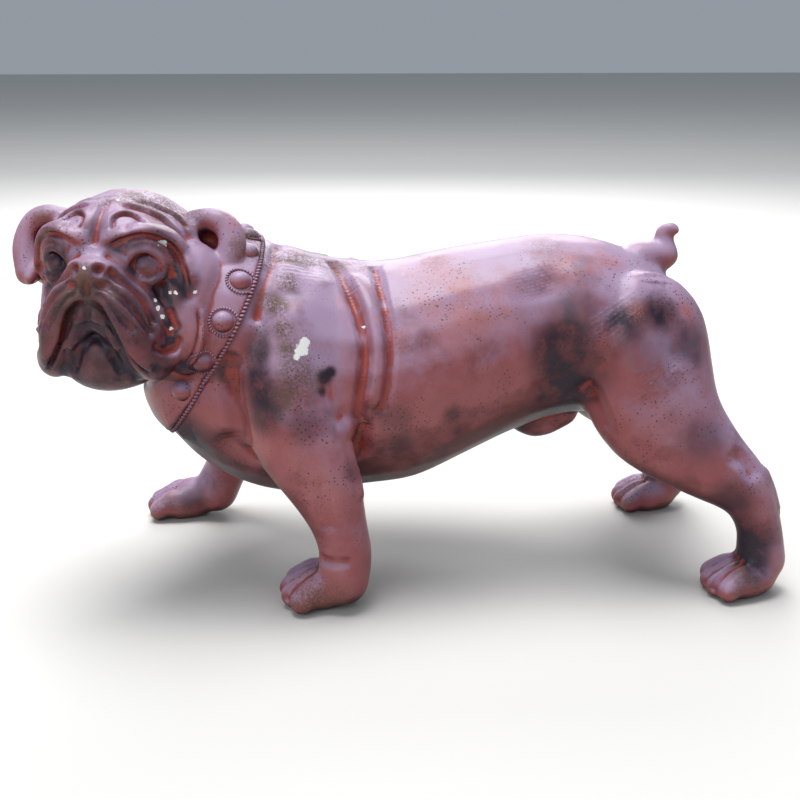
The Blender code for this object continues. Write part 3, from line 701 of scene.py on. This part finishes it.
# The paint: its colours, painted sky sheen and painted shade among them, and the marks of the brush, the
# weather, the dirt and painted shade, as x, y, z and radius in millimetres and a strength; the marks are
# carried over to the side that faces away
paint = {
    "oxide": (0.27, 0.040, 0.026, 1),
    # low: red-black; where the surface looks down it is painted shade, elsewhere it colours the dark patches
    # and the marks of stain and shade
    "low": (0.050, 0.006, 0.006, 1),
    "side": (0.27, 0.074, 0.080, 1),
    # top: lavender, a painted sky sheen on the surfaces that look up
    "top": (0.32, 0.225, 0.34, 1),
    "dark": (0.010, 0.008, 0.018, 1),
    "pink": (0.36, 0.125, 0.12, 1),
    "earth": (0.105, 0.062, 0.040, 1),
    "chalk": (0.74, 0.74, 0.72, 1),
    # noises: scale, detail and roughness
    "clouds": (7, 4, 0.6),
    "patches": (13, 5, 0.6),
    "blotches": (34, 6, 0.65),
    "grain": (420, 4, 0.75),
    "speckledParts": (22, 3, 0.6),
    "chipEdges": (150, 6, 0.7),
    "specks": 260,
    "flecks": 420,
    # where each layer starts and where it is full
    "edges": {
        # top and low: the painted sheen above and the painted shade below
        "top": (0.80, 1.60),
        "low": (0.46, -0.22),
        "patched": (0.50, 0.66),
        "rubbed": (0.58, 0.92),
        "stained": (0.25, 0.60),
        # hollow and under: painted shade in the broad hollows and on the surfaces that look down
        "hollow": (0.4, 3.0),
        "under": (-0.45, -0.95),
        "dark": (0.05, 0.90),
        "crease": (0.14, 0.50),
        "oxide": (0.42, 0.80),
        "unstained": (1.0, 0.55),
        "ridge": (-0.12, -0.5),
        # pink on the ridges: paint worn through, and partly a painted highlight
        "worn": (0.35, 0.7),
        "speck": (0.26, 0.16),
        "speckled": (0.46, 0.62),
        "fleck": (0.30, 0.20),
        "earth": (0.78, 1.02),
    },
    # how much each layer covers
    "cover": {
        "patched": 0.45,
        "stained": 0.75,
        "rubbed": 0.75,
        # hollow and under: painted shade in the broad hollows and below
        "hollow": 0.7,
        "under": 0.45,
        "dark": 0.90,
        "oxide": 0.9,
        "worn": 0.35,
        "speckled": 0.8,
        "flecked": 0.8,
    },
    "rough": {"least": 0.26, "blotches": 0.26, "earth": 0.35, "chips": 0.35},
    "height": {"blotches": 0.5, "grain": 0.22, "specks": -0.35, "earth": 0.55, "chips": -0.8},
    "bump": 0.55,
    "bumpDepth": 0.0012,
    "coatWeight": 0.10,
    "coatRoughness": 0.24,
    "specular": 0.24,
    "chipWobble": 0.007,
    "chipEdge": (1.2, 1.1),  # of each chip, as shares of its radius
    "fine": (5, 2),  # rounds of smoothing for the creases, before and after
    "broad": (90, 14),  # the same for the hollows
    "trimCrease": 0.05,
    "trimHollow": 0.4,
    "markReach": 1.5,
    "softness": {"stain": 1.2, "rub": 1.2, "dirt": 0.9},
    "carriedBack": 9,  # millimetres that a mark moves when it is carried over
    "carriedDown": 4,
    # blue-black stains on the body, and painted shade under the chin and the chest
    "stain": [
        (156, -98, 255, 34, 0.8), (157, -82, 204, 34, 0.8), (183, -97, 232, 30, 0.4),
        (213, -100, 281, 22, 0.8), (249, -101, 294, 20, 0.8), (234, -111, 255, 24, 0.4),
        (286, -104, 260, 26, 0.5), (170, -95, 295, 26, 0.5), (-44, -115, 264, 12, 0.3),
        (-42, -122, 235, 12, 0.3), (-40, -127, 206, 12, 0.4), (-13, -123, 194, 20, 0.5),
        (-7, -113, 164, 18, 0.6), (-32, -85, 306, 12, 0.3), (-146, -119, 267, 16, 0.8),
        (-145, -127, 234, 20, 0.9), (-139, -136, 206, 22, 0.8), (-83, -128, 240, 8, 1),
        (-76, -125, 245, 6, 0.9), (-85, -133, 228, 5, 0.9), (329, -136, 105, 26, 0.6),
        (349, -135, 60, 26, 0.8), (349, -150, 33, 22, 0.7), (295, -131, 169, 28, 0.4),
        (-103, -150, 195, 16, 0.4), (-56, -146, 151, 14, 0.5), (-228, -116, 316, 14, 0.6),
        (-266, -133, 339, 16, 0.6), (-294, -139, 318, 22, 0.5), (-321, -136, 322, 18, 0.6),
        (-336, -96, 357, 16, 0.7), (-249, -117, 353, 14, 0.6), (-241, -116, 326, 14, 0.8),
        (-214, -107, 324, 12, 0.5), (-294, -129, 282, 24, 0.9), (-271, -135, 254, 24, 0.9),
        (-226, -123, 247, 16, 0.7), (133, -16, 144, 20, 0.5), (45, -110, 194, 12, 0.6),
        (55, -99, 174, 10, 0.6), (-206, -82, 158, 34, 0.9), (-240, 96, 22, 20, 0.4),
        (-226, -40, 176, 40, 0.9), (-214, -74, 196, 24, 0.5), (-170, -84, 128, 26, 0.7),
    ],
    # the same on the head, in its own directions: dark stains, and painted shade on the chin, round the
    # mouth, under the brow and on the far side of the face
    "faceStainAndShade": [
        (88, 0, -34, 22, 1), (80, 0, -60, 28, 1), (62, 26, -78, 26, 1), (60, -24, -78, 28, 1),
        (84, 22, -44, 16, 0.9), (88, 34, -24, 8, 0.4), (80, 48, -38, 10, 0.5), (68, 62, -62, 14, 0.8),
        (58, 72, -30, 12, 0.6), (88, -26, -18, 18, 0.7), (74, -46, -40, 22, 0.8), (66, -56, -66, 20, 0.8),
        (80, 42, -6, 12, 0.6), (74, 56, -20, 10, 0.7), (70, -45, 27, 18, 0.9), (70, 47, 29, 4.5, 0.9),
        (58, 66, 4, 12, 0.7), (74, 40, 50, 9, 0.6), (54, 66, 46, 9, 0.5), (97, 13, 24, 6, 1),
        (97, -13, 24, 6, 1), (56, 24, 80, 7, 0.7), (64, 36, 74, 7, 0.6), (84, 0, 6, 26, 0.5),
        (62, 0, 58, 18, 0.5), (64, -58, 0, 26, 0.7), (86, 30, -14, 26, 0.7), (74, 54, -34, 22, 0.55),
        (52, 74, 12, 18, 0.7), (60, 58, 58, 16, 0.6), (70, 22, 48, 12, 0.7), (64, -46, 56, 16, 0.5),
        (72, 46, -46, 20, 0.5), (60, 40, -84, 24, 0.8), (36, 84, -66, 16, 0.5), (56, -24, 80, 8, 0.7),
        (38, 50, 78, 9, 0.6), (40, 30, 86, 8, 0.5), (44, 92, -20, 7, 0.5),
    ],
    "rub": [
        (38, -74, 313, 40, 0.8), (66, -91, 296, 34, 0.9), (45, -101, 279, 30, 0.7), (17, -31, 330, 30, 0.5),
        (97, -81, 314, 30, 0.5), (175, -65, 335, 24, 0.8), (203, -53, 339, 20, 0.7),
        (148, -74, 327, 18, 0.6), (227, -99, 293, 12, 1), (282, -93, 293, 8, 1), (-9, -102, 280, 20, 0.5),
        (-27, -81, 306, 8, 0.6), (-57, -80, 306, 16, 0.4), (-99, -156, 156, 26, 0.7),
        (-85, -159, 126, 24, 0.7), (-60, -141, 170, 20, 0.6), (-97, -155, 29, 26, 0.7),
        (-72, -159, 41, 18, 0.5), (15, -119, 203, 34, 0.4), (76, -106, 208, 34, 0.4),
        (-142, -132, 180, 22, 0.5), (-165, -99, 148, 24, 0.4), (-163, -56, 382, 16, 0.5),
        (-242, -79, 394, 14, 0.4), (-271, -81, 401, 12, 0.4), (-201, -122, 288, 16, 0.6),
        (-191, -113, 315, 14, 0.5), (264, -128, 189, 30, 0.3),
    ],
    "dirt": [
        (-250, -50, 400, 30, 0.9), (-286, -66, 404, 16, 0.7), (-215, -50, 395, 24, 0.6),
        (-148, -34, 359, 14, 1), (-138, -58, 348, 14, 1), (-121, -33, 343, 18, 0.9),
        (-101, -31, 339, 18, 0.8), (-75, -26, 334, 18, 0.7), (-45, -22, 329, 14, 0.5),
        (-116, -77, 321, 12, 1), (-125, -99, 301, 12, 1), (-120, -115, 285, 10, 1),
        (-117, -123, 267, 10, 0.9), (-112, -130, 249, 14, 0.8), (-102, -134, 238, 16, 0.6),
        (-119, -138, 227, 12, 0.7), (-135, -96, 310, 10, 0.7), (-163, -74, 356, 12, 0.6),
        (-358, -21, 384, 12, 0.5), (-321, -139, 318, 20, 0.4), (-288, -141, 332, 18, 0.6),
        (-301, -139, 346, 12, 0.6), (32, -32, 333, 14, 0.3), (145, -34, 350, 20, 0.3),
        (250, -34, 331, 12, 0.3), (-83, -156, 18, 22, 0.6), (-108, -160, 10, 20, 0.7),
        (344, -161, 17, 16, 0.7), (-270, 95, 10, 22, 0.5), (277, 92, 15, 20, 0.5),
    ],
    "chip": [
        (-102, -120, 272, 6.5), (-105, -123, 266, 7.5), (-109, -126, 261, 6), (-125, -112, 288, 2.6),
        (-119, -131, 247, 2.4), (-117, -135, 238, 2.6), (-119, -137, 230, 2), (-43, -98, 283, 1.6),
    ],
    # the same on the head, in its own directions
    "faceChip": [
        (56, 61, 49, 3.4), (60, 57, 48, 2.6), (53, 68, 4, 1.6), (54, 73, 4, 1.8), (48, 90, 5, 1.5),
        (61, 55, -4, 1.8), (61, 58, -11, 2), (60, 63, -19, 1.8), (56, 70, -30, 1.8), (37, 9, 90, 1.8),
        (96, 0, 24, 1.8),
    ],
}


def neighbourMean(points, ends, counts):
    total = np.empty_like(points)
    for k in range(points.shape[1]):
        total[:, k] = np.bincount(ends[:, 0], points[ends[:, 1], k], len(points))
        total[:, k] += np.bincount(ends[:, 1], points[ends[:, 0], k], len(points))
    return total / counts[:, None]


def hollowness(obj, rounds, after):  # how far each point lies below its smoothed surroundings, in millimetres
    ends = np.empty(len(obj.data.edges) * 2, np.int32)
    obj.data.edges.foreach_get("vertices", ends)
    ends = ends.reshape(-1, 2)
    counts = np.maximum(np.bincount(ends.ravel(), minlength=len(obj.data.vertices)), 1)
    points = getPoints(obj)
    smooth = points.copy()
    for i in range(rounds):
        smooth = neighbourMean(smooth, ends, counts)
    depth = np.einsum("ij,ij->i", smooth - points, getNormals(obj)) * perMetre
    for i in range(after):
        depth = neighbourMean(depth[:, None], ends, counts)[:, 0]
    return depth


def addMask(obj, name, values):
    mask = obj.data.attributes.new(name, "FLOAT", "POINT")
    mask.data.foreach_set("value", np.asarray(values, np.float32))


def markMask(obj, kind, faceMarks=()):
    points = getPoints(obj) * perMetre
    spots = []
    for x, y, z, *rest in paint[kind]:
        spots.append(((x, y, z), *rest))
        spots.append(((x + paint["carriedBack"], -y, z - paint["carriedDown"]), *rest))
    for x, y, z, *rest in faceMarks:
        spots.append((placeOnCasting(headToBody @ Vector((x, farSide(y), z))) * perMetre, *rest))
    left = np.ones(len(points))
    for spot, radius, strength in spots:
        far = np.linalg.norm(points - spot, axis=1) / radius
        left *= 1 - strength * easeIn((paint["markReach"] - far) / paint["softness"][kind])
    return 1 - left


def addMasks(obj, fine, broad):
    addMask(obj, "crease", fine)
    # how deep each point lies in a broad hollow, darkened there as painted shade
    addMask(obj, "hollow", broad)
    # the marks of stain and of painted shade
    addMask(obj, "stain", markMask(obj, "stain", paint["faceStainAndShade"]))
    addMask(obj, "rub", markMask(obj, "rub"))
    addMask(obj, "dirt", markMask(obj, "dirt"))


def addNode(nodeTree, kind, inputs, **settings):
    made = nodeTree.nodes.new(kind)
    for key, value in settings.items():
        setattr(made, key, value)
    for key, value in inputs.items():
        if isinstance(value, bpy.types.NodeSocket):
            nodeTree.links.new(value, made.inputs[key])
        else:
            made.inputs[key].default_value = value
    return made


def makeCoat():
    coat = bpy.data.materials.new("wornCoat")
    coat.use_nodes = True
    nodes = coat.node_tree
    shader = nodes.nodes["Principled BSDF"]
    where = addNode(nodes, "ShaderNodeTexCoord", {})
    spot = where.outputs["Object"]

    def mask(name):
        return addNode(nodes, "ShaderNodeAttribute", {}, attribute_name=name).outputs["Fac"]

    def noise(name):
        scale, detail, roughness = paint[name]
        inputs = {"Vector": spot, "Scale": scale, "Detail": detail, "Roughness": roughness}
        return addNode(nodes, "ShaderNodeTexNoise", inputs)

    def cells(name):
        inputs = {"Vector": spot, "Scale": paint[name]}
        return addNode(nodes, "ShaderNodeTexVoronoi", inputs, feature="F1").outputs["Distance"]

    def ramp(value, low, high):
        inputs = {"Value": value, "From Min": low, "From Max": high}
        return addNode(nodes, "ShaderNodeMapRange", inputs, interpolation_type="SMOOTHSTEP").outputs["Result"]

    def edge(value, name):
        return ramp(value, *paint["edges"][name])

    def combine(one, two, operation):
        return addNode(nodes, "ShaderNodeMath", {0: one, 1: two}, operation=operation).outputs[0]

    def times(one, two):
        return combine(one, two, "MULTIPLY")

    def plus(one, two):
        return combine(one, two, "ADD")

    def cover(amount, name):
        return times(amount, paint["cover"][name])

    def layer(below, name, amount):
        made = nodes.nodes.new("ShaderNodeMix")
        made.data_type = "RGBA"
        nodes.links.new(amount, made.inputs[0])
        if isinstance(below, bpy.types.NodeSocket):
            nodes.links.new(below, made.inputs[6])
        else:
            made.inputs[6].default_value = below
        made.inputs[7].default_value = paint[name]
        return made.outputs[2]

    cloud, patch, blotch, grain, parts = (
        noise(name).outputs["Fac"] for name in ("clouds", "patches", "blotches", "grain", "speckledParts")
    )
    # the way the surface looks, for the painted sheen above and the painted shade below
    facing = addNode(nodes, "ShaderNodeSeparateXYZ", {0: where.outputs["Normal"]}).outputs["Z"]
    crease, stain, rub = mask("crease"), mask("stain"), mask("rub")
    mottle = plus(times(cloud, 0.9), times(blotch, 0.6))

    # painted sky sheen: mauve where it looks up; brown paint at the sides; painted shade: red-black below
    colour = layer(paint["side"], "top", edge(plus(facing, times(mottle, 1.2)), "top"))
    colour = layer(colour, "low", edge(plus(facing, times(mottle, 0.8)), "low"))
    colour = layer(colour, "low", cover(edge(patch, "patched"), "patched"))
    # red-black where the stains are, and painted shade under the chin and the chest
    colour = layer(colour, "low", cover(stain, "stained"))
    rubbed = times(rub, edge(plus(blotch, times(grain, 0.6)), "rubbed"))
    colour = layer(colour, "pink", cover(rubbed, "rubbed"))

    # blue-black in the stains; painted shade in the broad hollows and on the surfaces that look down; red
    # oxide in the creases; pink on the ridges, worn paint and partly a painted highlight
    dark = plus(times(stain, edge(blotch, "stained")), cover(edge(mask("hollow"), "hollow"), "hollow"))
    dark = plus(dark, cover(edge(facing, "under"), "under"))
    colour = layer(colour, "dark", cover(edge(dark, "dark"), "dark"))
    oxide = times(edge(crease, "crease"), edge(plus(blotch, times(grain, 0.4)), "oxide"))
    oxide = times(oxide, edge(stain, "unstained"))
    colour = layer(colour, "oxide", cover(oxide, "oxide"))
    # pink on the ridges: worn paint, and partly a painted highlight
    worn = times(edge(crease, "ridge"), edge(blotch, "worn"))
    colour = layer(colour, "pink", cover(worn, "worn"))

    # specks, flecks and dirt
    speckle = times(edge(cells("specks"), "speck"), edge(parts, "speckled"))
    colour = layer(colour, "dark", cover(speckle, "speckled"))
    flecks = times(edge(cells("flecks"), "fleck"), rub)
    colour = layer(colour, "pink", cover(flecks, "flecked"))
    earth = times(mask("dirt"), edge(plus(grain, times(blotch, 0.8)), "earth"))
    colour = layer(colour, "earth", earth)

    # white chips with ragged edges
    wobble = paint["chipWobble"]
    moved = addNode(nodes, "ShaderNodeVectorMath", {0: noise("chipEdges").outputs["Color"], 1: (wobble,) * 3},
                    operation="MULTIPLY").outputs[0]
    moved = addNode(nodes, "ShaderNodeVectorMath", {0: spot, 1: moved}, operation="ADD").outputs[0]
    spots = [(x / perMetre, y / perMetre, z / perMetre, radius) for x, y, z, radius in paint["chip"]]
    for x, y, z, radius in paint["faceChip"]:
        spots.append((*placeOnCasting(headToBody @ Vector((x, y, z))), radius))
    chips = None
    for x, y, z, radius in spots:
        middle = (x + wobble / 2, y + wobble / 2, z + wobble / 2)
        far = addNode(nodes, "ShaderNodeVectorMath", {0: moved, 1: middle}, operation="DISTANCE")
        low, high = (share * radius / perMetre for share in paint["chipEdge"])
        chip = ramp(far.outputs["Value"], low, high)
        chips = chip if chips is None else combine(chips, chip, "MAXIMUM")
    colour = layer(colour, "chalk", chips)
    nodes.links.new(colour, shader.inputs["Base Color"])

    amounts = paint["rough"]
    rough = plus(times(blotch, amounts["blotches"]), amounts["least"])
    rough = plus(rough, times(earth, amounts["earth"]))
    rough = plus(rough, times(chips, amounts["chips"]))
    nodes.links.new(rough, shader.inputs["Roughness"])
    shader.inputs["Coat Weight"].default_value = paint["coatWeight"]
    shader.inputs["Coat Roughness"].default_value = paint["coatRoughness"]
    shader.inputs["Specular IOR Level"].default_value = paint["specular"]

    amounts = paint["height"]
    height = plus(times(blotch, amounts["blotches"]), times(grain, amounts["grain"]))
    for value, name in ((speckle, "specks"), (earth, "earth"), (chips, "chips")):
        height = plus(height, times(value, amounts[name]))
    bump = addNode(nodes, "ShaderNodeBump", {"Strength": paint["bump"], "Distance": paint["bumpDepth"],
                                             "Height": height})
    nodes.links.new(bump.outputs["Normal"], shader.inputs["Normal"])
    return coat


addMasks(dog, hollowness(dog, *paint["fine"]), hollowness(dog, *paint["broad"]))
for trim in trims:
    count = len(trim.data.vertices)
    addMasks(trim, np.full(count, paint["trimCrease"]), np.full(count, paint["trimHollow"]))
coat = makeCoat()
for piece in [dog] + trims:
    piece.data.materials.clear()
    piece.data.materials.append(coat)
    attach(piece, "root")
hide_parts("bulldog")
print("painted")

studio = {
    "floor": (0.60, 0.59, 0.57, 1),
    "floorSize": 30,
    "floorRoughness": 0.9,
    "floorSpecular": 0.1,
    # each lamp: place, power and size
    "key": ((-0.6, 0.6, 5.0), 350, 3.2),
    "front": ((-1.5, -2.3, 1.5), 26, 2.0),
    "back": ((0.2, 2.5, 1.9), 58, 2.0),
    "aim": (0, 0, 0.2),
    "sky": 0.36,
    "skyColour": (0.80, 0.89, 1, 1),
}


def makeStudio():
    deselectAll()
    bpy.ops.mesh.primitive_grid_add(x_subdivisions=8, y_subdivisions=8, size=studio["floorSize"])
    floor = bpy.context.object
    floor.name = "paleFloor"
    plain = bpy.data.materials.new("palePaper")
    plain.use_nodes = True
    shader = plain.node_tree.nodes["Principled BSDF"]
    shader.inputs["Base Color"].default_value = studio["floor"]
    shader.inputs["Roughness"].default_value = studio["floorRoughness"]
    shader.inputs["Specular IOR Level"].default_value = studio["floorSpecular"]
    floor.data.materials.append(plain)
    for name in ("key", "front", "back"):
        spot, power, size = studio[name]
        deselectAll()
        bpy.ops.object.light_add(type="AREA", location=spot)
        lamp = bpy.context.object
        lamp.name = name + "Lamp"
        lamp.data.energy = power
        lamp.data.size = size
        lamp.rotation_euler = (Vector(studio["aim"]) - Vector(spot)).to_track_quat("-Z", "Y").to_euler()
    world = bpy.data.worlds.new("softSky")
    world.use_nodes = True
    background = world.node_tree.nodes["Background"]
    background.inputs["Color"].default_value = studio["skyColour"]
    background.inputs["Strength"].default_value = studio["sky"]
    scene.world = world


camera = {
    "spot": (-0.08712, -1.2420, 0.5618),
    "turn": -4,
    "tilt": 17.2,
    "lens": 54,
    "sensor": 36,
}


def makeCamera():
    deselectAll()
    turn, tilt = math.radians(camera["turn"]), math.radians(camera["tilt"])
    bpy.ops.object.camera_add(location=camera["spot"], rotation=(math.pi / 2 - tilt, 0, turn))
    eye = bpy.context.object
    eye.name = "photoCamera"
    eye.data.lens = camera["lens"]
    eye.data.sensor_width = camera["sensor"]
    eye.data.sensor_fit = "HORIZONTAL"
    scene.camera = eye


makeStudio()
makeCamera()
scene.view_settings.view_transform = "Standard"
print("studio made")
